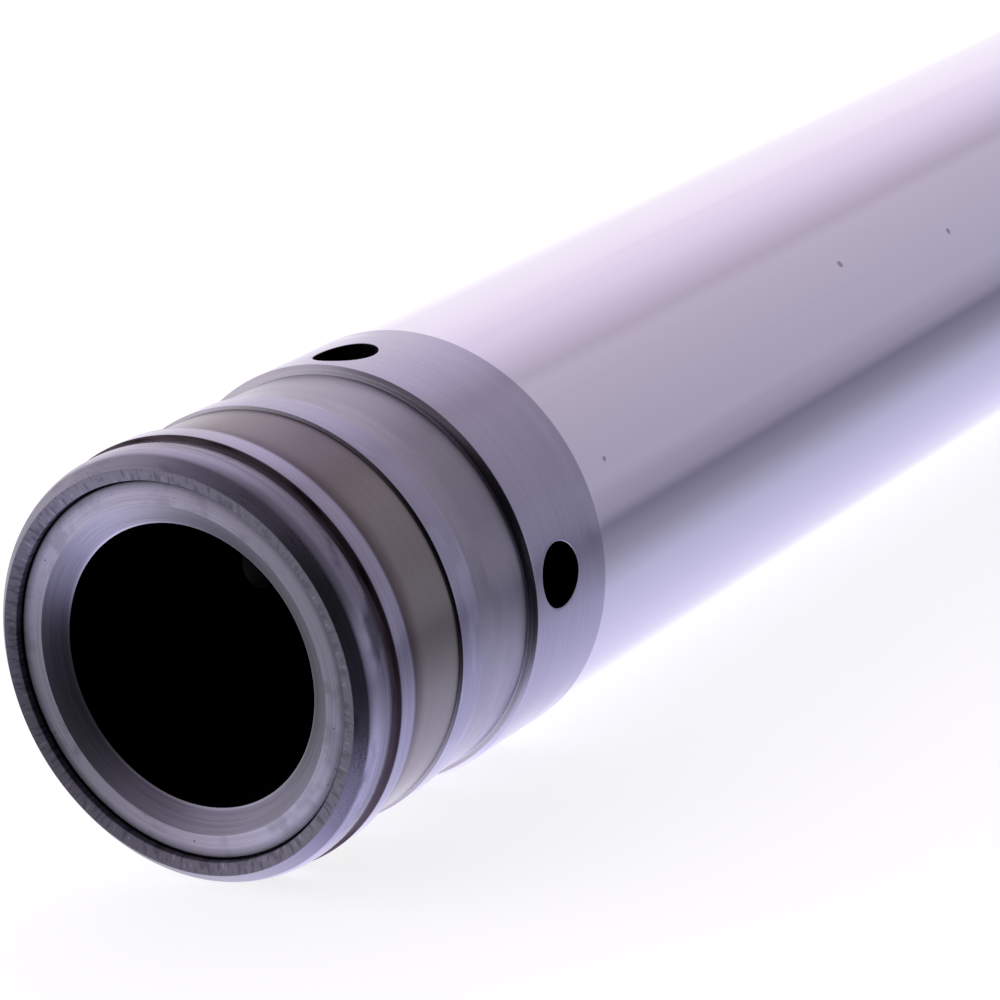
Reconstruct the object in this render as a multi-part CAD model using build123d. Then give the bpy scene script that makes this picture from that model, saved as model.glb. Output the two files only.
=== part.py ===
from build123d import *
import os

# Fork tube: the chromed inner tube of a telescopic front fork, one turned steel
# piece. It lies along +X, with the origin on the axis at the mouth of the narrow
# bore in the lower end. All sizes are in millimetres. Each station is measured
# from the crest of the rolled nose, the lowest point of the tube, and the whole
# is shifted to the mouth of the bore at the end.

# Whole tube
tube_length = 600.0
outer_diameter = 41.0
wall = 2.5

# Rolled rim and nose, with radii given as steps in from the chromed surface
crest_inset = 1.8
rim_width = 1.15
rim_drop = 0.3
rim_rounding = 0.12
nose_chamfer_length = 0.96
nose_chamfer_inset = 0.88
nose_shoulder_length = 0.79
nose_shoulder_inset = 0.5
nose_crown_length = 1.5
nose_crown_inset = 0.46
nose_edge_rounding = 0.15
nose_rounding = 2.8

# End face: narrow seam inside the rim, flat ring, countersunk neck bore
seam_width = 0.3
seam_depth = 0.8
face_depth = 0.9
face_width = 2.0
face_rounding = 0.6
countersink_width = 2.1
countersink_depth = 1.35
neck_length = 36.0
neck_cone_length = 5.0

# Bush seat: notch, lip, two plain stretches with a raised land, shoulder
notch_lead = 0.8
notch_floor = 0.7
notch_wall = 0.29
notch_depth = 0.35
notch_rounding = 0.25
lip_inset = 0.25
lip_length = 2.26
seat_inset = 0.9
front_seat_length = 8.1
land_height = 0.32
land_length = 3.27
land_taper_length = 2.65
rear_seat_length = 5.6
root_fillet = 0.2
shoulder_chamfer = 0.35
shoulder_rounding = 0.4

# Ground band with the oil holes, before the chrome starts
ground_inset = 0.06
ground_length = 10.9
chrome_edge_length = 0.6
oil_hole_diameter = 6.1
oil_hole_count = 4
oil_hole_setback = 4.33
oil_hole_deburr = 0.12

# Upper end: outside chamfer, seal bore, cap thread at its minor size, relief
top_chamfer_length = 1.5
end_face_width = 0.4
seal_wall = 1.3
seal_bore_length = 4.0
seal_lead_in = 0.4
thread_clearance = 0.2
thread_length = 16.0
relief_depth = 0.9
relief_length = 2.5
relief_cone_length = 1.1

# Radii
chrome = outer_diameter / 2
ground = chrome - ground_inset
lip = chrome - lip_inset
seat = chrome - seat_inset
land = seat + land_height
crest = chrome - crest_inset
seam_outer = crest - rim_width
seam_inner = seam_outer - seam_width
countersink = seam_inner - face_width
neck_bore = countersink - countersink_width
main_bore = chrome - wall
thread_minor = main_bore + thread_clearance
relief = thread_minor + relief_depth
seal_bore = chrome - seal_wall
top_edge = seal_bore + seal_lead_in + end_face_width

# Stations along the axis, from the crest of the nose
mouth_station = face_depth + countersink_depth
nose_shoulder = nose_chamfer_length + nose_shoulder_length
crown_end = nose_shoulder + nose_crown_length
notch_start = crown_end + notch_lead
notch_end = notch_start + notch_floor + notch_wall
lip_end = notch_end + lip_length
land_start = lip_end + front_seat_length
land_end = land_start + land_length
rear_seat_start = land_end + land_taper_length
shoulder_start = rear_seat_start + rear_seat_length
ground_start = shoulder_start + shoulder_chamfer
oil_hole_station = ground_start + oil_hole_setback
chrome_start = ground_start + ground_length
neck_end = mouth_station + neck_length
cone_end = neck_end + neck_cone_length
seal_bore_start = tube_length - seal_bore_length
thread_start = seal_bore_start - thread_length
relief_start = thread_start - relief_length
main_bore_end = relief_start - relief_cone_length


def rim_and_nose():
    """Corners from the flat ring over the rolled rim to the lip."""
    seam_bottom = face_depth + seam_depth
    return [
        (face_depth, seam_inner),
        (seam_bottom, seam_inner),
        (seam_bottom, seam_outer),
        (rim_drop, seam_outer),
        (0, crest),
        (nose_chamfer_length, chrome - nose_chamfer_inset),
        (nose_shoulder, chrome - nose_shoulder_inset),
        (crown_end, chrome - nose_crown_inset),
        (notch_start, lip - notch_depth),
        (notch_start + notch_floor, lip - notch_depth),
        (notch_end, lip),
    ]


def bush_seat():
    """Corners from the lip to the shoulder behind the bush."""
    return [
        (lip_end, lip),
        (lip_end, seat),
        (land_start, seat),
        (land_start, land),
        (land_end, land),
        (rear_seat_start, seat),
        (shoulder_start, seat),
        (shoulder_start, ground - shoulder_chamfer),
        (ground_start, ground),
    ]


def barrel():
    """Corners of the ground band, the chromed length and the upper end face."""
    return [
        (chrome_start, ground),
        (chrome_start + chrome_edge_length, chrome),
        (tube_length - top_chamfer_length, chrome),
        (tube_length, top_edge),
        (tube_length, seal_bore + seal_lead_in),
    ]


def inside():
    """Corners of the bores, from the upper end back to the countersink."""
    return [
        (tube_length - seal_lead_in, seal_bore),
        (seal_bore_start, seal_bore),
        (seal_bore_start, thread_minor),
        (thread_start, thread_minor),
        (thread_start, relief),
        (relief_start, relief),
        (main_bore_end, main_bore),
        (cone_end, main_bore),
        (neck_end, neck_bore),
        (mouth_station, neck_bore),
        (face_depth, countersink),
    ]


def rounded(section, corner, radius):
    """The section with the vertex nearest to one corner rounded off."""
    place = Vector(corner[0], corner[1])
    vertex = min(section.vertices(), key=lambda v: (Vector(v.X, v.Y) - place).length)
    return fillet(vertex, radius)


def half_section():
    """The wall's section on one side of the axis, with its small roundings."""
    nose = rim_and_nose()
    bush = bush_seat()
    section = make_face(Polyline(*nose, *bush, *barrel(), *inside(), close=True))
    section = rounded(section, nose[0], face_rounding)
    section = rounded(section, nose[3], rim_rounding)
    section = rounded(section, nose[4], rim_rounding)
    section = rounded(section, nose[5], nose_edge_rounding)
    section = rounded(section, nose[6], nose_rounding)
    section = rounded(section, nose[7], nose_rounding)
    section = rounded(section, nose[9], notch_rounding)
    section = rounded(section, bush[6], root_fillet)
    section = rounded(section, bush[8], shoulder_rounding)
    return section


def tube_blank():
    """The section turned about the axis, laid along +X."""
    return revolve(half_section(), Axis.X, 360)


def oil_holes():
    """Radial drills through one wall each, with a small cone that breaks the edge.

    The cone runs on past the ground surface by as much as it goes in, so that its
    top doesn't lie on the surface it cuts.
    """
    radius = oil_hole_diameter / 2
    outwards = (Align.CENTER, Align.CENTER, Align.MIN)
    drill = Cylinder(radius, 2 * chrome, align=outwards)
    cone_length = 2 * oil_hole_deburr
    cone = Cone(radius, radius + cone_length, cone_length, align=outwards)
    sink = Pos(0, 0, ground - oil_hole_deburr) * cone
    place = Pos(oil_hole_station, 0, 0)
    step = 360 / oil_hole_count
    return [place * Rot(X=step * index) * (drill + sink) for index in range(oil_hole_count)]


fork_tube = Pos(-mouth_station, 0, 0) * (tube_blank() - oil_holes())
fork_tube.label = "fork_tube"

os.makedirs("parts", exist_ok=True)
export_step(fork_tube, "parts/fork_tube.step")
print("length", round(fork_tube.bounding_box().size.X, 3), "volume", round(fork_tube.volume, 1))
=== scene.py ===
# %% [markdown]
# # A fork tube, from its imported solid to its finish
# The part is the inner tube of a motorcycle fork: one long steel tube, turned at the
# lower end, ground and hard chromed along its length. The solid gives its size and place.
# This script lays a finer skin over it, because chrome shows every flat of a coarse mesh,
# and gives each stretch of the skin the finish that its machining left.

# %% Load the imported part
import math
from types import SimpleNamespace

import bpy
import numpy as np
from mathutils import Matrix, Vector


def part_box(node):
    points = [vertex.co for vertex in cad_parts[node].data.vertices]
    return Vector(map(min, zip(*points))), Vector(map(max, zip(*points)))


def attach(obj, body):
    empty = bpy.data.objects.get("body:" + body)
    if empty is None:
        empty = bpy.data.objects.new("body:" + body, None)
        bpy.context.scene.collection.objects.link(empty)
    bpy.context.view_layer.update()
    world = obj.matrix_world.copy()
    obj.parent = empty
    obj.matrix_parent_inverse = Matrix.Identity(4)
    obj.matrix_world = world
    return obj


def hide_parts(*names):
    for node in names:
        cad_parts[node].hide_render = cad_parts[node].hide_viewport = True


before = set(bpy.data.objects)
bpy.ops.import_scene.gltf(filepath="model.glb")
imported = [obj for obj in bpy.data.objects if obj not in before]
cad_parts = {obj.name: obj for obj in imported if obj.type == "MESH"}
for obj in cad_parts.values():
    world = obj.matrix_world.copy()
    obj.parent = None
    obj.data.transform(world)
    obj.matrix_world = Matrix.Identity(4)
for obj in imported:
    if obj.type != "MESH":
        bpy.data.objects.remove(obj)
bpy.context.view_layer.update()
low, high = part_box("fork_tube")
print("tube from", [round(v * 1000, 2) for v in low], "to", [round(v * 1000, 2) for v in high], "mm")

# %% [markdown]
# ## Sizes
# A turned part is described by radii and by stations along its axis. The two that come
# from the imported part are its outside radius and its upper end. The others are the
# drawing's own sizes in millimetres, counted from the crest of the rolled nose.

# %% Sizes in millimetres
MM = 0.001
CHROME = (high.y - low.y) / 2 / MM
LENGTH = 600.0
CREST_X = high.x / MM - LENGTH

GROUND = CHROME - 0.06
LIP = CHROME - 0.25
NOTCH = LIP - 0.35
SEAT = CHROME - 0.9
LAND = SEAT + 0.32
CREST = CHROME - 1.8
SEAM_OUTER = CREST - 1.15
SEAM_INNER = SEAM_OUTER - 0.3
COUNTERSINK = SEAM_INNER - 2.0
NECK_BORE = COUNTERSINK - 2.1
MAIN_BORE = CHROME - 2.5
THREAD_MINOR = MAIN_BORE + 0.2
RELIEF = THREAD_MINOR + 0.9
SEAL_BORE = CHROME - 1.3
print("outside radius", round(CHROME, 3), "mm, crest of the nose at x =", round(CREST_X, 3), "mm")

# %% [markdown]
# ## The outline of the wall
# On the real tube a lathe tool followed this outline, so one closed outline of the wall is
# all that the shape needs. Each corner is a station, a radius, a rounding and the finish
# of the stretch that starts there. A sharp corner has a rounding too, of a few hundredths,
# because a broken edge catches the thin line of light that a perfect edge never shows.
# The seam inside the rim is shallower here than in the solid: old grease has filled it.

# %% The outline, corner by corner
FINISHES = [
    "chrome", "ground", "land", "rear_seat", "seat", "lip", "notch",
    "nose", "rim", "face", "countersink", "bore", "machined",
]
FACE = 0.9
MOUTH = FACE + 1.35
NECK_END = MOUTH + 36.0
CHROME_START = 38.17
THREAD_START = 580.0
THREAD_END = 596.0
outline = [
    (FACE, SEAM_INNER + 0.14, 0.3, "rim"),
    (FACE + 0.3, SEAM_INNER + 0.14, 0.05, "rim"),
    (FACE + 0.3, SEAM_OUTER, 0.05, "rim"),
    (0.3, SEAM_OUTER, 0.12, "rim"),
    (0.0, CREST, 0.12, "nose"),
    (0.96, CHROME - 0.88, 0.15, "nose"),
    (1.75, CHROME - 0.5, 2.8, "nose"),
    (3.25, CHROME - 0.46, 2.8, "nose"),
    (4.05, NOTCH, 0.3, "notch"),
    (4.75, NOTCH, 0.25, "notch"),
    (5.04, LIP, 0.1, "lip"),
    (7.3, LIP, 0.06, "seat"),
    (7.3, SEAT, 0.06, "seat"),
    (15.4, SEAT, 0.03, "machined"),
    (15.42, LAND, 0.05, "land"),
    (18.67, LAND, 1.0, "rear_seat"),
    (21.32, SEAT, 1.0, "rear_seat"),
    (26.92, SEAT, 0.1, "machined"),
    (26.94, GROUND - 0.35, 0.1, "rear_seat"),
    (27.27, GROUND, 0.1, "ground"),
    (CHROME_START - 0.27, GROUND, 15.0, "ground"),
    (CHROME_START + 1.13, CHROME, 15.0, "chrome"),
    (598.5, CHROME, 0.1, "machined"),
    (LENGTH, SEAL_BORE + 0.8, 0.05, "machined"),
    (LENGTH, SEAL_BORE + 0.4, 0.05, "machined"),
    (599.6, SEAL_BORE, 0.05, "machined"),
    (THREAD_END, SEAL_BORE, 0.05, "machined"),
    (THREAD_END, THREAD_MINOR, 0.0, "machined"),
    (THREAD_START, THREAD_MINOR, 0.0, "machined"),
    (THREAD_START, RELIEF, 0.05, "machined"),
    (577.5, RELIEF, 0.05, "machined"),
    (576.4, MAIN_BORE, 0.05, "bore"),
    (NECK_END + 5.0, MAIN_BORE, 0.5, "bore"),
    (NECK_END, NECK_BORE, 0.5, "bore"),
    (MOUTH, NECK_BORE, 0.05, "countersink"),
    (FACE, COUNTERSINK, 0.05, "face"),
]
print(len(outline), "corners,", len(FINISHES), "finishes")


# %% Round the corners
def rounded(corners):
    """Stations, radii and finish numbers of the closed outline, with each corner an arc.

    The arc of a corner starts and ends at rounding x tan(half the turn) from it, and its
    points lie on the circle that touches both runs there. The finish changes halfway.
    """
    points, kinds = [], []
    count = len(corners)
    for k in range(count):
        here = np.array(corners[k][:2])
        back = np.array(corners[k - 1][:2]) - here
        ahead = np.array(corners[(k + 1) % count][:2]) - here
        before, after = back / np.linalg.norm(back), ahead / np.linalg.norm(ahead)
        turn = math.pi - math.acos(np.clip(before @ after, -1, 1))
        kind = FINISHES.index(corners[k][3])
        kind_before = FINISHES.index(corners[k - 1][3])
        if corners[k][2] == 0 or turn < 0.01:
            points.append(here[None])
            kinds.append([kind])
            continue
        reach = corners[k][2] * math.tan(turn / 2)
        steps = max(3, math.ceil(turn / math.radians(12)))
        middle = here + (before + after) / np.linalg.norm(before + after) * math.hypot(reach, corners[k][2])
        start, end = here + before * reach - middle, here + after * reach - middle
        t = np.linspace(0, 1, steps + 1)[:, None]
        arc = (np.sin((1 - t) * turn) * start + np.sin(t * turn) * end) / math.sin(turn)
        points.append(middle + arc)
        kinds.append([kind_before] * (steps // 2) + [kind] * (steps + 1 - steps // 2))
    return np.vstack(points), np.concatenate(kinds).astype(int)


# %% Fill in the long runs
def with_stations(points, kinds, stations):
    """The outline with extra points where its straight runs pass the wanted stations.

    stations is a list of (lowest radius, highest radius, array of stations).
    """
    out, names = [], []
    for k in range(len(points)):
        a, b = points[k], points[(k + 1) % len(points)]
        out.append(a[None])
        names.append([kinds[k]])
        for inner, outer, wanted in stations:
            inside = (wanted - a[0]) * (wanted - b[0]) < -1e-9
            if inner < a[1] < outer and inner < b[1] < outer and inside.any():
                t = (wanted[inside] - a[0]) / (b[0] - a[0])
                t = np.sort(t)[:, None]
                out.append(a + (b - a) * t)
                names.append([kinds[k]] * len(t))
    return np.vstack(out), np.concatenate(names).astype(int)


PITCH = 1.5
HOLE_RADIUS = 3.05
HOLE_STATION = 31.6
HOLE_COUNT = 4
HOLE_EDGE = 0.12
CLOSE = 0.02
patch_rows = HOLE_STATION + np.linspace(-3.75, 3.75, 17)
barrel_rows = CHROME_START + 0.6 + 560 * np.linspace(0, 1, 21)[1:-1] ** 1.5
bore_rows = NECK_END + 5.0 + 530 * np.linspace(0, 1, 16)[1:-1] ** 1.5
thread_rows = np.arange(THREAD_START + PITCH / 8, THREAD_END, PITCH / 8)
seat_rows = np.concatenate([np.arange(8.5, 15, 1.5), np.arange(22.5, 26.5, 1.5), [16.5, 17.5]])

points, kinds = rounded(outline)
points, kinds = with_stations(points, kinds, [
    (GROUND - CLOSE, CHROME + 1, np.concatenate([patch_rows, barrel_rows])),
    (NECK_BORE - CLOSE, NECK_BORE + CLOSE, patch_rows),
    (MAIN_BORE - CLOSE, MAIN_BORE + CLOSE, bore_rows),
    (THREAD_MINOR - CLOSE, THREAD_MINOR + CLOSE, thread_rows),
    (SEAT - CLOSE, LAND + CLOSE, seat_rows),
])
print(len(points), "points round the outline")

# %% [markdown]
# ## The skin
# Carrying the outline once round the axis gives a grid of two parameters, the place on the
# outline and the angle. The cap thread is cut in the same grid, by a ridge whose phase
# runs with both. Where an oil hole comes, a window of the grid is left out and filled by a
# second grid that runs from the hole's round edge out to the window's square edge, so the
# surface stays on the tube and no cutting tool leaves slivers that chrome would show.

# %% The grid of the turned surface
SIDES = 256
WINDOW = 13
THREAD_DEPTH = 0.6 * PITCH


def turned_grid(points):
    """Grid points: x is the station, y and z the radius times cosine and sine of the angle.

    In the thread the radius grows by a triangle wave of (station / pitch - angle / full
    turn), which fades in and out over one pitch at each end.
    """
    angle = np.arange(SIDES) / SIDES * 2 * math.pi
    station = points[:, :1] + np.zeros(SIDES)
    radius = points[:, 1:] + np.zeros(SIDES)
    in_thread = (np.abs(radius - THREAD_MINOR) < 0.01) & (station > THREAD_START) & (station < THREAD_END)
    phase = (station / PITCH - angle / (2 * math.pi)) % 1.0
    groove = np.clip(2.6 * np.minimum(phase, 1 - phase) - 0.15, 0, 1)
    ends = np.clip(np.minimum(station - THREAD_START, THREAD_END - station) / PITCH, 0, 1)
    radius = radius + np.where(in_thread, THREAD_DEPTH * groove * ends, 0)
    x = (station + CREST_X) * MM
    return np.stack([x, radius * np.cos(angle) * MM, radius * np.sin(angle) * MM], axis=-1)


grid = turned_grid(points)
rows = len(points)
print("grid", grid.shape, "of", rows * SIDES, "points")


# %% Windows for the oil holes
def rows_at(stations, radius):
    """Numbers of the outline points at the given stations on the wall of one radius."""
    off = np.abs(points[:, 0] - stations[:, None]) + 10 * np.abs(points[:, 1] - radius)
    return off.argmin(axis=1)


def window_loop(window_rows, left):
    """Grid numbers round a window's edge: up one side, across, down the other and back."""
    across = (left + np.arange(2 * WINDOW + 1)) % SIDES
    up = window_rows * SIDES + across[0]
    over = window_rows[-1] * SIDES + across[1:]
    down = window_rows[::-1][1:] * SIDES + across[-1]
    back = window_rows[0] * SIDES + across[::-1][1:-1]
    return np.concatenate([up, over, down, back])


def hole_point(station, sideways, radius, middle):
    """A point on the wall: its height over the axis is root(radius^2 - sideways^2)."""
    height = np.sqrt(radius**2 - sideways**2)
    y = height * math.cos(middle) - sideways * math.sin(middle)
    z = height * math.sin(middle) + sideways * math.cos(middle)
    return np.stack([(station + CREST_X) * MM + 0 * y, y * MM, z * MM], axis=-1)


def edge_places(loop, middle):
    """Station and sideways distance of each point of a window's edge."""
    corner = grid.reshape(-1, 3)[loop] / MM
    sideways = corner[:, 2] * math.cos(middle) - corner[:, 1] * math.sin(middle)
    return corner[:, 0] - CREST_X, sideways


def window_rings(loop, bearing, middle, wall, edge, rings):
    """Rings from a hole's edge out to a window: straight blends from circle to square.

    Ring number t lies at circle x (1 - t) + square x t, with more rings near the hole,
    and every point of it is lifted onto the wall. The square itself is the grid's.
    """
    station, sideways = edge_places(loop, middle)
    t = (np.linspace(0, 1, rings + 1)[:-1, None]) ** 1.3
    x = (HOLE_STATION + edge * np.cos(bearing)) * (1 - t) + station * t
    s = edge * np.sin(bearing) * (1 - t) + sideways * t
    return hole_point(x, s, wall, middle)


outer_rows, inner_rows = rows_at(patch_rows, GROUND), rows_at(patch_rows, NECK_BORE)
print("window rows outside", outer_rows[[0, -1]], "inside", inner_rows[[0, -1]])

# %% Join grid, windows and hole walls
all_points = [grid.reshape(-1, 3)]
all_faces, all_kinds = [], []
number = np.arange(rows * SIDES).reshape(rows, SIDES)
keep = np.ones((rows, SIDES), bool)
filled = rows * SIDES
quarter = np.linspace(0, math.pi / 2, 5)[1:, None]
for k in range(HOLE_COUNT):
    middle = 2 * math.pi * k / HOLE_COUNT
    left = (SIDES * k // HOLE_COUNT - WINDOW) % SIDES
    columns = (left + np.arange(2 * WINDOW)) % SIDES
    keep[outer_rows.min():outer_rows.max(), columns] = False
    keep[inner_rows.min():inner_rows.max(), columns] = False
    outer_loop, inner_loop = window_loop(outer_rows, left), window_loop(inner_rows, left)
    station, sideways = edge_places(outer_loop, middle)
    bearing = np.arctan2(sideways, station - HOLE_STATION)
    outside = window_rings(outer_loop, bearing, middle, GROUND, HOLE_RADIUS + HOLE_EDGE, 7)
    edge = HOLE_RADIUS + HOLE_EDGE * (1 - np.sin(quarter))
    sink = HOLE_EDGE * (1 - np.cos(quarter))
    x, s = HOLE_STATION + edge * np.cos(bearing), edge * np.sin(bearing)
    broken_edge = hole_point(x, s, GROUND - sink, middle)
    inside = window_rings(inner_loop, bearing, middle, NECK_BORE, HOLE_RADIUS, 4)
    stack = np.concatenate([outside[::-1], broken_edge, inside])
    ids = filled + np.arange(stack.size // 3).reshape(stack.shape[:2])
    filled += stack.size // 3
    all_points.append(stack.reshape(-1, 3))
    chain = [outer_loop, *ids, inner_loop]
    for n, (a, b) in enumerate(zip(chain[:-1], chain[1:])):
        all_faces.append(np.stack([b, np.roll(b, -1), np.roll(a, -1), a], axis=-1))
        name = "ground" if n < len(outside) + 2 else "bore"
        all_kinds.append(np.full(len(a), FINISHES.index(name)))

below = np.roll(number, -1, axis=0)
quad = np.stack([number, np.roll(number, -1, axis=1), np.roll(below, -1, axis=1), below], axis=-1)
all_faces.append(quad[keep])
all_kinds.append(np.broadcast_to(kinds[:, None], (rows, SIDES))[keep])
used, skin_faces = np.unique(np.concatenate(all_faces), return_inverse=True)
skin_faces = skin_faces.reshape(-1, 4)
skin_points = np.concatenate(all_points)[used]
skin_kinds = np.concatenate(all_kinds)
print(len(skin_points), "points,", 2 * len(skin_faces), "triangles")

# %% Make the mesh
mesh = bpy.data.meshes.new("fork_tube_skin")
mesh.from_pydata(skin_points.tolist(), [], skin_faces.tolist())
mesh.update()
skin = bpy.data.objects.new("fork_tube_skin", mesh)
bpy.context.scene.collection.objects.link(skin)
mesh.polygons.foreach_set("material_index", skin_kinds.astype(np.int32))
mesh.polygons.foreach_set("use_smooth", np.ones(len(mesh.polygons), bool))
mesh.set_sharp_from_angle(angle=math.radians(35))
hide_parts("fork_tube")
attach(skin, "root")

# %% [markdown]
# ## How a machined metal is described
# One tube, one steel, and yet a dozen finishes, because each machine leaves its own marks:
# a grinding wheel leaves fine lines round the tube, a lathe tool leaves rings, rolling
# leaves a smeared edge, and hard chrome is polished until it is a mirror. All are metal,
# so the colour is that of the reflection, and the roughness with its direction says how
# far the reflection smears: across the marks, which is along the tube or the radius.
# Every pattern is laid out in the tube's own measures: station, radius and turn.


# %% Colours and nodes
def linear(code):
    """sRGB hex to linear red, green, blue and 1."""
    part = [int(code[i:i + 2], 16) / 255 for i in (0, 2, 4)]
    return [v / 12.92 if v <= 0.04045 else ((v + 0.055) / 1.055) ** 2.4 for v in part] + [1.0]


def add(tree, kind, values=None, links=None, stops=None, **settings):
    """Adds a node with settings, socket values, links, and (place, hex) stops on a ramp."""
    node = tree.nodes.new(kind)
    for name, value in settings.items():
        setattr(node, name, value)
    for name, value in (values or {}).items():
        node.inputs[name].default_value = value
    for name, source in (links or {}).items():
        tree.links.new(source, node.inputs[name])
    if stops:
        elements = node.color_ramp.elements
        while len(elements) < len(stops):
            elements.new(0.5)
        for element, (place, code) in zip(elements, stops):
            element.position, element.color = place, linear(code)
    return node


# %% A metal with its marks round the axis
def machined_metal(name, color, roughness, smear=0.0):
    """A metal, with the tube's measures as sockets: place in mm, station, radius, turn."""
    material = bpy.data.materials.new(name)
    material.use_nodes = True
    tree = material.node_tree
    shader = tree.nodes["Principled BSDF"]
    shader.inputs["Metallic"].default_value = 1.0
    shader.inputs["Base Color"].default_value = linear(color)
    shader.inputs["Roughness"].default_value = roughness
    if smear:
        shader.inputs["Anisotropic"].default_value = smear
        shader.inputs["Anisotropic Rotation"].default_value = 0.25
        tangent = add(tree, "ShaderNodeTangent", direction_type="RADIAL", axis="X")
        tree.links.new(tangent.outputs["Tangent"], shader.inputs["Tangent"])
    metres = add(tree, "ShaderNodeTexCoord").outputs["Object"]
    place = add(tree, "ShaderNodeVectorMath", {"Scale": 1 / MM}, {0: metres}, operation="SCALE").outputs["Vector"]
    part = add(tree, "ShaderNodeSeparateXYZ", None, {0: place}).outputs
    station = add(tree, "ShaderNodeMath", {1: -CREST_X}, {0: part["X"]}, operation="ADD").outputs[0]
    section = add(tree, "ShaderNodeCombineXYZ", None, {"Y": part["Y"], "Z": part["Z"]}).outputs[0]
    radius = add(tree, "ShaderNodeVectorMath", None, {0: section}, operation="LENGTH").outputs["Value"]
    turn = add(tree, "ShaderNodeMath", None, {0: part["Z"], 1: part["Y"]}, operation="ARCTAN2").outputs[0]
    mesh.materials.append(material)
    return SimpleNamespace(
        tree=tree, shader=shader, place=place, section=section, station=station, radius=radius, turn=turn
    )


def rings(metal, across, spacing, along=30.0, detail=3.0):
    """Tool marks, 0 to 1: noise that changes each spacing mm across, and slowly round."""
    fine = add(metal.tree, "ShaderNodeMath", {1: 1 / spacing}, {0: across}, operation="MULTIPLY").outputs[0]
    slow = add(metal.tree, "ShaderNodeVectorMath", {"Scale": 1 / along}, {0: metal.section}, operation="SCALE")
    where = add(metal.tree, "ShaderNodeVectorMath", None, {0: slow.outputs["Vector"]}, operation="ADD")
    shift = add(metal.tree, "ShaderNodeCombineXYZ", None, {"X": fine}).outputs[0]
    metal.tree.links.new(shift, where.inputs[1])
    noise = add(metal.tree, "ShaderNodeTexNoise", {"Scale": 1.0, "Detail": detail}, {"Vector": where.outputs[0]})
    return noise.outputs["Fac"]


def blotches(metal, size, stretch=(1, 1, 1), detail=3.0):
    """Soft patches, 0 to 1, of a size in mm, longer where stretch is under 1."""
    where = add(metal.tree, "ShaderNodeMapping", {"Scale": [s / size for s in stretch]}, {"Vector": metal.place})
    noise = add(metal.tree, "ShaderNodeTexNoise", {"Scale": 1.0, "Detail": detail}, {"Vector": where.outputs[0]})
    return noise.outputs["Fac"]


def between(metal, value, start, end):
    """A mask that rises smoothly from 0 at start to 1 at end (either may be the larger)."""
    flip = start > end
    levels = {"From Min": min(start, end), "From Max": max(start, end), "To Min": float(flip), "To Max": 1.0 - flip}
    return add(
        metal.tree, "ShaderNodeMapRange", levels, {"Value": value}, interpolation_type="SMOOTHSTEP"
    ).outputs["Result"]


def both(metal, first, second):
    """Where one mask and the other hold: their product."""
    links = {0: first} if isinstance(second, float) else {0: first, 1: second}
    values = {1: second} if isinstance(second, float) else None
    return add(metal.tree, "ShaderNodeMath", values, links, operation="MULTIPLY").outputs[0]


def lay_over(metal, socket, mask, value):
    """Where the mask is 1, the shader's socket takes the value, over what it had."""
    goal = metal.shader.inputs[socket]
    color = socket == "Base Color"
    first, second, result = (6, 7, 2) if color else (2, 3, 0)
    node = add(metal.tree, "ShaderNodeMix", None, {0: mask}, data_type="RGBA" if color else "FLOAT")
    node.inputs[second].default_value = linear(value) if color else value
    if goal.is_linked:
        metal.tree.links.new(goal.links[0].from_socket, node.inputs[first])
    else:
        node.inputs[first].default_value = goal.default_value
    metal.tree.links.new(node.outputs[result], goal)


def relief(metal, height, depth):
    """Bump of the given depth in mm, over the bump that the metal already has."""
    node = add(metal.tree, "ShaderNodeBump", {"Distance": depth * MM, "Strength": 1.0}, {"Height": height})
    goal = metal.shader.inputs["Normal"]
    if goal.is_linked:
        metal.tree.links.new(goal.links[0].from_socket, node.inputs["Normal"])
    metal.tree.links.new(node.outputs["Normal"], goal)


# %% [markdown]
# ## Hard chrome
# Hard chrome is plated on the ground tube and polished: a mirror with a faint haze. Its
# colour is almost white with a touch of blue. Polishing stones run to and fro along the
# tube, so the haze lies in long streaks, and a few specks are left from handling. The
# streaks are drawn about ten times as wide as real ones, which are too fine to show.

# %% Chrome
chrome = machined_metal("hard_chrome", "E4E2E8", 0.075)
streaks = blotches(chrome, 2.2, (0.02, 1, 1))
lay_over(chrome, "Roughness", between(chrome, streaks, 0.45, 0.75), 0.105)
lay_over(chrome, "Base Color", both(chrome, between(chrome, streaks, 0.5, 0.8), 0.35), "CFCDD6")
relief(chrome, streaks, 0.0016)
SPECKS = [(98.1, -16.5, 12.2, 0.55), (121.2, -17.8, 10.1, 0.5), (43.4, -19.1, 7.4, 0.35)]
for station, y, z, size in SPECKS:
    spot = add(chrome.tree, "ShaderNodeVectorMath", {1: (station + CREST_X, y, z)}, {0: chrome.place}, operation="DISTANCE")
    mark = between(chrome, spot.outputs["Value"], size, 0.4 * size)
    lay_over(chrome, "Base Color", both(chrome, mark, 0.6), "6E6A74")
    lay_over(chrome, "Roughness", mark, 0.3)

# %% [markdown]
# ## Ground steel
# Behind the bush seat the tube is ground and not plated. A wheel leaves fine lines round
# the tube, which smear each reflection along it. The lines are drawn 0.3 mm apart, where
# real ones are under 0.05 mm. Towards the chrome the polishing runs over the last of it.

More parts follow.
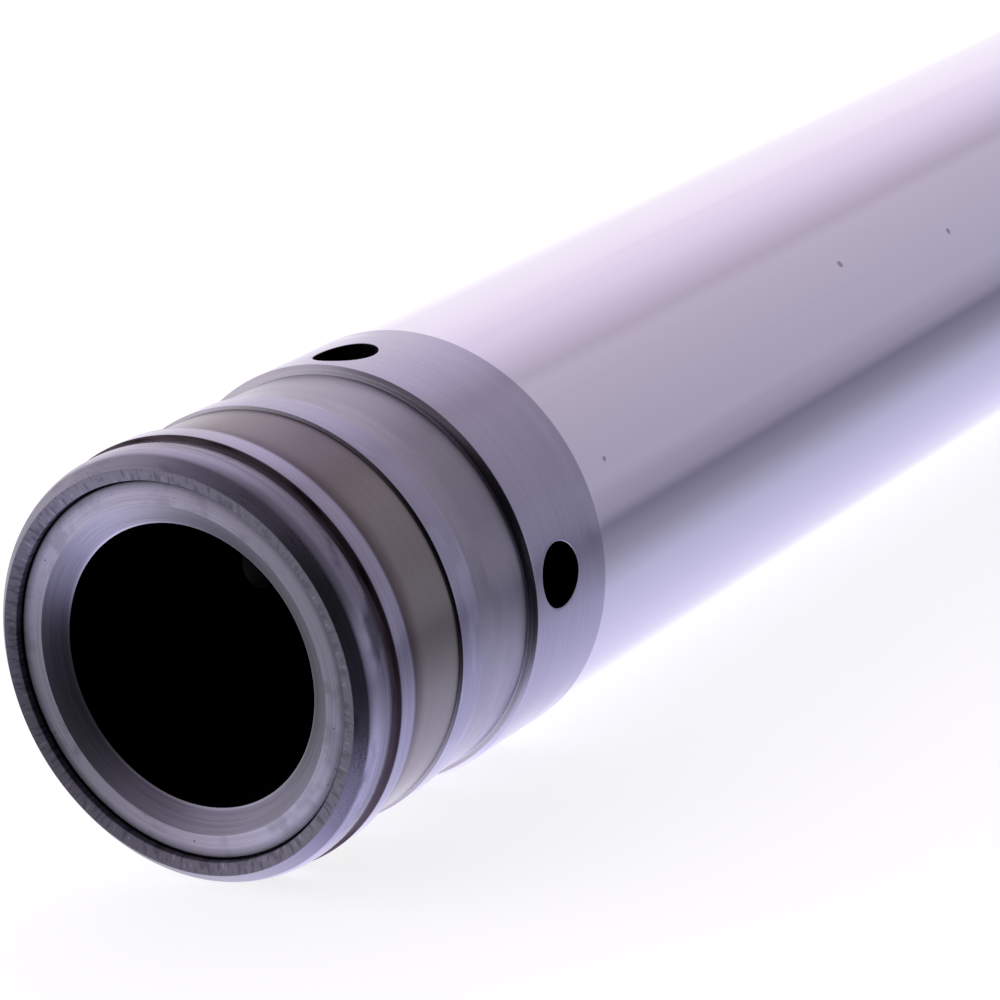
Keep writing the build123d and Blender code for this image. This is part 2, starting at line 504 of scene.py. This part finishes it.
# %% Ground band
ground = machined_metal("ground_steel", "B4B2BF", 0.18, 0.92)
lines = rings(ground, ground.station, 0.3)
patches = blotches(ground, 5.0, (1, 0.5, 0.5))
lay_over(ground, "Base Color", both(ground, between(ground, lines, 0.4, 0.7), 0.2), "9896A3")
lay_over(ground, "Base Color", both(ground, between(ground, patches, 0.5, 0.72), 0.3), "C4C2CF")
lay_over(ground, "Roughness", between(ground, patches, 0.45, 0.7), 0.24)
edge_wear = both(ground, between(ground, ground.station, 36.6, 38.2), between(ground, lines, 0.35, 0.6))
lay_over(ground, "Roughness", edge_wear, 0.12)
relief(ground, lines, 0.0005)

# %% [markdown]
# ## Turned steel: land, rear seat and lip
# The bush seat is finish turned. The raised land and the lip touch the bush and are a
# little polished by it, so they are paler and show light patches. The rear seat is
# greyer, because the bush doesn't rub there.

# %% Land, rear seat and lip
TURNED = [
    ("land", "polished_land_steel", "A9A8B6", 0.19, "C2C1D0", 0.5, "94929F"),
    ("rear_seat", "turned_steel", "A5A3A9", 0.25, "B4B2B9", 0.3, "929097"),
]
turned = {}
for finish, name, color, roughness, pale, share, line_color in TURNED:
    metal = machined_metal(name, color, roughness, 0.9)
    lines = rings(metal, metal.station, 0.3)
    patches = blotches(metal, 4.0, (1.4, 0.6, 0.6), 2.0)
    lay_over(metal, "Base Color", both(metal, between(metal, lines, 0.45, 0.7), 0.2), line_color)
    lay_over(metal, "Base Color", both(metal, between(metal, patches, 0.5, 0.62), share), pale)
    lay_over(metal, "Roughness", between(metal, patches, 0.45, 0.65), roughness + 0.05)
    relief(metal, lines, 0.0004)
    turned[finish] = metal

# %% [markdown]
# ## Heat-tinted seat
# The front of the bush seat has a straw-brown tint from heat and oil, redder against the
# lip, with faint streaks round the tube where the bush has turned. Right behind the lip it
# is darker, partly from dirt and partly a painted shadow of the lip, and the seat is also
# darker on the upper side of the tube.

# %% Seat
seat = machined_metal("heat_tinted_steel", "949089", 0.22, 0.88)
lines = rings(seat, seat.station, 0.35, 18.0)
red = between(seat, rings(seat, seat.station, 1.6, 7.0, 2.0), 0.45, 0.7)
lay_over(seat, "Base Color", both(seat, between(seat, lines, 0.4, 0.7), 0.16), "7C7771")
lay_over(seat, "Base Color", both(seat, between(seat, seat.station, 10.5, 7.4), red), "86736F")
# Painted shadow of the lip, mixed with dirt: the seat darkens right behind the lip.
lay_over(seat, "Base Color", both(seat, between(seat, seat.station, 10.2, 7.9), 0.8), "54484A")
# The seat is darker on the upper side of the tube.
darker_upper_side = both(seat, between(seat, seat.turn, 2.5, 1.95), between(seat, seat.turn, 0.9, 1.4))
lay_over(seat, "Base Color", both(seat, darker_upper_side, 0.55), "5E5060")
lay_over(seat, "Roughness", between(seat, blotches(seat, 6.0), 0.45, 0.65), 0.25)
relief(seat, lines, 0.0004)

# %% [markdown]
# ## Lip, notch and nose
# The notch in front of the lip holds dried oil, dark and brownish. The nose was closed by
# rolling, which leaves smudges and a hatch of chatter on its chamfer. A lighter band behind
# the chamfer is a painted highlight, and painted shade darkens the taper into the notch
# and the nose's lower side.

# %% Lip
lip = machined_metal("turned_lip_steel", "ACAAB8", 0.18, 0.88)
lines = rings(lip, lip.station, 0.3)
lay_over(lip, "Base Color", both(lip, between(lip, lines, 0.45, 0.7), 0.35), "8E8C99")
lay_over(lip, "Base Color", both(lip, between(lip, lip.station, 6.85, 7.25), 0.8), "6A6570")
lay_over(lip, "Base Color", both(lip, between(lip, lip.station, 5.3, 5.05), 0.7), "5A545C")
relief(lip, lines, 0.0007)

# %% Notch
notch = machined_metal("oiled_groove_steel", "5C5257", 0.62, 0.3)
oil = rings(notch, notch.station, 0.6, 6.0)
lay_over(notch, "Base Color", between(notch, oil, 0.45, 0.7), "2C2528")
relief(notch, oil, 0.004)

# %% Nose
nose = machined_metal("rolled_steel", "9694A0", 0.26, 0.8)
lines = rings(nose, nose.station, 0.35, 14.0)
smudges = blotches(nose, 3.2, (1.2, 0.5, 0.5), 5.0)
lay_over(nose, "Base Color", both(nose, between(nose, lines, 0.42, 0.7), 0.45), "6A6873")
lay_over(nose, "Base Color", both(nose, between(nose, smudges, 0.54, 0.68), 0.75), "4C4A54")
# Painted shade on the taper down into the notch.
lay_over(nose, "Base Color", both(nose, between(nose, nose.station, 3.1, 4.2), 0.6), "4F484E")
# Painted highlight: a lighter band just behind the chamfer.
highlight_band = both(nose, between(nose, nose.station, 1.0, 1.45), between(nose, nose.station, 2.8, 1.9))
lay_over(nose, "Base Color", both(nose, highlight_band, 0.45), "BCBAC8")
lay_over(nose, "Roughness", between(nose, smudges, 0.5, 0.66), 0.36)
on_chamfer = between(nose, nose.station, 1.2, 0.95)
lay_over(nose, "Base Color", both(nose, on_chamfer, 0.5), "605E69")
lay_over(nose, "Roughness", on_chamfer, 0.36)
weave = add(nose.tree, "ShaderNodeCombineXYZ", None, {
    "X": both(nose, nose.turn, 120.0), "Y": both(nose, nose.station, 6.0),
}).outputs[0]
chatter = add(nose.tree, "ShaderNodeTexNoise", {"Scale": 1.0, "Detail": 5.0}, {"Vector": weave}).outputs["Fac"]
torn = both(nose, both(nose, on_chamfer, 0.6), between(nose, blotches(nose, 7.0), 0.44, 0.62))
lay_over(nose, "Base Color", both(nose, between(nose, chatter, 0.42, 0.66), torn), "3E3C46")
# Painted shade on the nose's lower side.
underside_shade = both(nose, between(nose, nose.turn, -2.9, -2.4), between(nose, nose.turn, -1.1, -1.6))
lay_over(nose, "Base Color", both(nose, underside_shade, 0.5), "56545F")
relief(nose, lines, 0.0012)
relief(nose, both(nose, chatter, torn), 0.008)

# %% [markdown]
# ## Rim, ring and countersink
# The end was faced and bored, so its marks are circles about the axis, and the smear is
# along the radius. The rolled rim is scratched across by the roller. The flat ring has
# small pits. Against the seam, the ring's outer edge and the rim's inner wall are darkened
# by painted shade.

# %% Rim
rim = machined_metal("scratched_rim_steel", "686671", 0.5, 0.7)
spokes = add(rim.tree, "ShaderNodeCombineXYZ", None, {
    "X": both(rim, rim.turn, 46.0), "Y": both(rim, rim.radius, 0.7),
}).outputs[0]
scratches = add(rim.tree, "ShaderNodeTexNoise", {"Scale": 1.0, "Detail": 4.0}, {"Vector": spokes}).outputs["Fac"]
lay_over(rim, "Base Color", both(rim, between(rim, scratches, 0.5, 0.62), 0.7), "45434D")
lay_over(rim, "Base Color", both(rim, between(rim, scratches, 0.4, 0.3), 0.5), "94929E")
# Painted shade: the rim's inner wall at the seam is painted almost black.
lay_over(rim, "Base Color", between(rim, rim.station, 0.82, 1.05), "15141A")
lay_over(rim, "Roughness", between(rim, scratches, 0.45, 0.65), 0.42)
relief(rim, scratches, 0.006)

# %% Ring
face = machined_metal("faced_steel", "A3A1B0", 0.5, 0.93)
circles = rings(face, face.radius, 0.16, 12.0)
stains = blotches(face, 2.6, (1, 1, 1), 5.0)
pits = add(face.tree, "ShaderNodeTexVoronoi", {"Scale": 1.1}, {"Vector": face.place}).outputs["Distance"]
pit = both(face, between(face, pits, 0.11, 0.05), between(face, blotches(face, 4.0), 0.5, 0.56))
lay_over(face, "Base Color", both(face, between(face, circles, 0.42, 0.7), 0.35), "77757F")
lay_over(face, "Base Color", both(face, between(face, stains, 0.5, 0.68), 0.4), "6E6C77")
# Painted shade on the ring's outer edge, against the seam.
lay_over(face, "Base Color", both(face, between(face, face.radius, 16.3, 17.3), 0.6), "4A4852")
lay_over(face, "Base Color", pit, "2B2930")
relief(face, circles, 0.003)
relief(face, both(face, pit, -1.0), 0.02)

# %% Countersink
sink_steel = machined_metal("bored_steel", "7A7984", 0.34, 0.8)
circles = rings(sink_steel, sink_steel.radius, 0.14, 10.0)
lay_over(sink_steel, "Base Color", both(sink_steel, between(sink_steel, circles, 0.4, 0.65), 0.5), "62616C")
# Painted highlight: a lighter line on the countersink's edge at the bore.
edge_highlight = between(sink_steel, sink_steel.radius, NECK_BORE + 0.28, NECK_BORE + 0.1)
lay_over(sink_steel, "Base Color", both(sink_steel, edge_highlight, 0.55), "A5A4B1")
relief(sink_steel, circles, 0.005)

# %% [markdown]
# ## Inside and upper end
# Inside, the tube is left as drawn and is darkened by phosphate and oil, and near the
# lower end painted shade makes it almost black. The upper end is turned and threaded for
# the cap, with a plain machined look.

# %% Bore
bore = machined_metal("phosphated_bore_steel", "26252A", 0.6)
film = blotches(bore, 9.0, (0.3, 1, 1))
lay_over(bore, "Base Color", between(bore, film, 0.45, 0.7), "302D31")
lay_over(bore, "Roughness", between(bore, film, 0.45, 0.7), 0.5)
# Painted shade: near the lower end the bore is painted almost black.
lay_over(bore, "Base Color", between(bore, bore.station, 90.0, 45.0), "0A0A0C")
relief(bore, film, 0.01)

# %% Machined upper end
upper = machined_metal("threaded_end_steel", "A8A6AC", 0.26, 0.7)
lines = rings(upper, upper.station, 0.3)
lay_over(upper, "Base Color", both(upper, between(upper, lines, 0.42, 0.7), 0.4), "86848A")
relief(upper, lines, 0.002)
print([m.name for m in mesh.materials])
assert len(mesh.materials) == len(FINISHES)

# %% [markdown]
# ## Camera
# The photograph looks at the open lower end from close by and a little above, so the tube
# runs away to the upper right and shrinks as it goes. The shift only centres the frame.

# %% Camera
camera_data = bpy.data.cameras.new("camera")
camera = bpy.data.objects.new("camera", camera_data)
bpy.context.scene.collection.objects.link(camera)
bpy.context.scene.camera = camera
camera_data.lens = 134.63
camera_data.shift_x, camera_data.shift_y = 0.0011, -0.0028
camera_data.clip_start = 0.01
back = Vector((-0.7995, -0.537, 0.270)).normalized()
right = Vector((0.524, -0.843, -0.124))
right = (right - back * right.dot(back)).normalized()
facing = Matrix((right, back.cross(right), back)).transposed()
camera.matrix_world = Matrix.Translation(Vector((-0.2422, -0.1972, 0.0988))) @ facing.to_4x4()

# %% [markdown]
# ## Studio
# Chrome is only what it mirrors, so the room does the work. A photographer lights such a
# tube with long panels beside it, and each panel becomes a stripe along the chrome. So
# the world here is a set of panels about the tube's axis, placed by their angle from the
# camera's side, upwards and downwards: a white sweep behind, a soft box above whose edge
# fades, the grey room over the camera, the dark edge of the table and the white paper
# that rises again below. One round dark patch is the room around the camera itself.

# %% The panels about the axis
PANELS = [
    (-180, "FAF8FC"),  # white sweep behind the tube
    (-110, "FAF0FF"),  # soft box above
    (-80, "E6DAF2"),   # its fading edge
    (-50, "BAB0C2"),   # where it ends
    (-42, "C4BACC"),   # grey room over the camera
    (20, "B2AEC2"),    # the room, still
    (38, "9A96AA"),    # towards the table
    (45, "787488"),    # dark edge of the table
    (60, "9290A2"),    # paper in the shade of the edge
    (80, "BCBAD8"),    # paper in the light
    (120, "DAD6F6"),   # paper under the tube
    (150, "F0ECFE"),   # and on to the sweep
]
FRONT = (0.0, -0.894, 0.448)
DOWN = (0.0, -0.448, -0.894)
world = bpy.data.worlds.new("studio")
bpy.context.scene.world = world
world.use_nodes = True
tree = world.node_tree
tree.nodes.clear()
direction = add(tree, "ShaderNodeTexCoord").outputs["Generated"]
front = add(tree, "ShaderNodeVectorMath", {1: FRONT}, {0: direction}, operation="DOT_PRODUCT").outputs["Value"]
down = add(tree, "ShaderNodeVectorMath", {1: DOWN}, {0: direction}, operation="DOT_PRODUCT").outputs["Value"]
angle = add(tree, "ShaderNodeMath", None, {0: down, 1: front}, operation="ARCTAN2").outputs["Value"]
full = {"From Min": -math.pi, "From Max": math.pi}
share = add(tree, "ShaderNodeMapRange", full, {"Value": angle}).outputs["Result"]
stops = [((a + 180) / 360, code) for a, code in PANELS] + [(1.0, PANELS[0][1])]
room = add(tree, "ShaderNodeValToRGB", None, {"Fac": share}, stops=stops).outputs["Color"]

# %% Dark round the camera, bright on the sweep and on the paper below
def cosine(degrees):
    """The dot product of two directions this far apart."""
    return math.cos(math.radians(degrees))


studio_map = SimpleNamespace(tree=tree)
near = add(tree, "ShaderNodeVectorMath", {1: tuple(back)}, {0: direction}, operation="DOT_PRODUCT").outputs["Value"]
ahead = add(tree, "ShaderNodeSeparateXYZ", None, {0: direction}).outputs["X"]
tripod = tuple((back + 0.34 * Vector(DOWN)).normalized())
below_lens = add(tree, "ShaderNodeVectorMath", {1: tripod}, {0: direction}, operation="DOT_PRODUCT").outputs["Value"]
heart = between(studio_map, below_lens, cosine(55), cosine(32))
above = both(studio_map, between(studio_map, front, -0.3, 0.1), between(studio_map, down, 0.5, 0.1))
room_dark = both(studio_map, between(studio_map, near, cosine(120), cosine(66)), above)
below_tube = both(studio_map, between(studio_map, down, 0.15, 0.6), between(studio_map, ahead, 0.85, 0.3))
paper_bright = both(studio_map, below_tube, between(studio_map, near, cosine(60), cosine(98)))
sweep_bright = between(studio_map, front, -0.38, -0.6)
LEVELS = [(heart, -0.99), (room_dark, -0.7), (paper_bright, 1.4), (sweep_bright, 0.25)]
level = None
for mask, gain in LEVELS:
    step = add(tree, "ShaderNodeMath", {1: gain, 2: 1.0}, {0: mask}, operation="MULTIPLY_ADD").outputs[0]
    level = step if level is None else both(studio_map, level, step)
shaded = add(tree, "ShaderNodeVectorMath", None, {0: room, "Scale": level}, operation="SCALE").outputs["Vector"]
studio = add(tree, "ShaderNodeBackground", {"Strength": 1.1}, {"Color": shaded})
white = add(tree, "ShaderNodeBackground", {"Color": (1, 1, 1, 1), "Strength": 1.0})
rays = add(tree, "ShaderNodeLightPath").outputs
plain = add(tree, "ShaderNodeMath", None, {0: rays["Is Camera Ray"], 1: rays["Is Transmission Ray"]}, operation="MAXIMUM")
mix = add(tree, "ShaderNodeMixShader", None, {0: plain.outputs[0], 1: studio.outputs[0], 2: white.outputs[0]})
add(tree, "ShaderNodeOutputWorld", None, {"Surface": mix.outputs[0]})

# %% [markdown]
# ## Floor
# White paper, which keeps a faint shadow under the tube. Its glow is for the camera only,
# so it whitens the picture and puts no light on the tube. Glossy rays pass it and meet
# the panels above, which already hold the white paper as the tube mirrors it.

# %% Floor
SPAN = 6.0
floor_mesh = bpy.data.meshes.new("floor")
square = [(-SPAN, -SPAN, low.z), (SPAN, -SPAN, low.z), (SPAN, SPAN, low.z), (-SPAN, SPAN, low.z)]
floor_mesh.from_pydata(square, [], [(0, 1, 2, 3)])
floor = bpy.data.objects.new("floor", floor_mesh)
bpy.context.scene.collection.objects.link(floor)
paper = bpy.data.materials.new("white_paper_sweep")
paper.use_nodes = True
tree = paper.node_tree
tree.nodes.clear()
rays = add(tree, "ShaderNodeLightPath").outputs
seen = add(tree, "ShaderNodeMath", None, {0: rays["Is Camera Ray"], 1: rays["Is Glossy Ray"]}, operation="MAXIMUM")
seen = add(tree, "ShaderNodeMath", None, {0: seen.outputs[0], 1: rays["Is Transmission Ray"]}, operation="MAXIMUM")
strength = add(tree, "ShaderNodeMath", {1: 0.8}, {0: seen.outputs[0]}, operation="MULTIPLY").outputs[0]
glow = add(tree, "ShaderNodeEmission", None, {"Strength": strength})
matte = add(tree, "ShaderNodeBsdfDiffuse", {"Color": (0.5, 0.5, 0.5, 1)})
lit = add(tree, "ShaderNodeAddShader", None, {0: glow.outputs[0], 1: matte.outputs[0]})
add(tree, "ShaderNodeOutputMaterial", None, {"Surface": lit.outputs[0]})
floor_mesh.materials.append(paper)
floor.visible_glossy = False

# %% Colour and sizes
bpy.context.scene.view_settings.view_transform = "Standard"
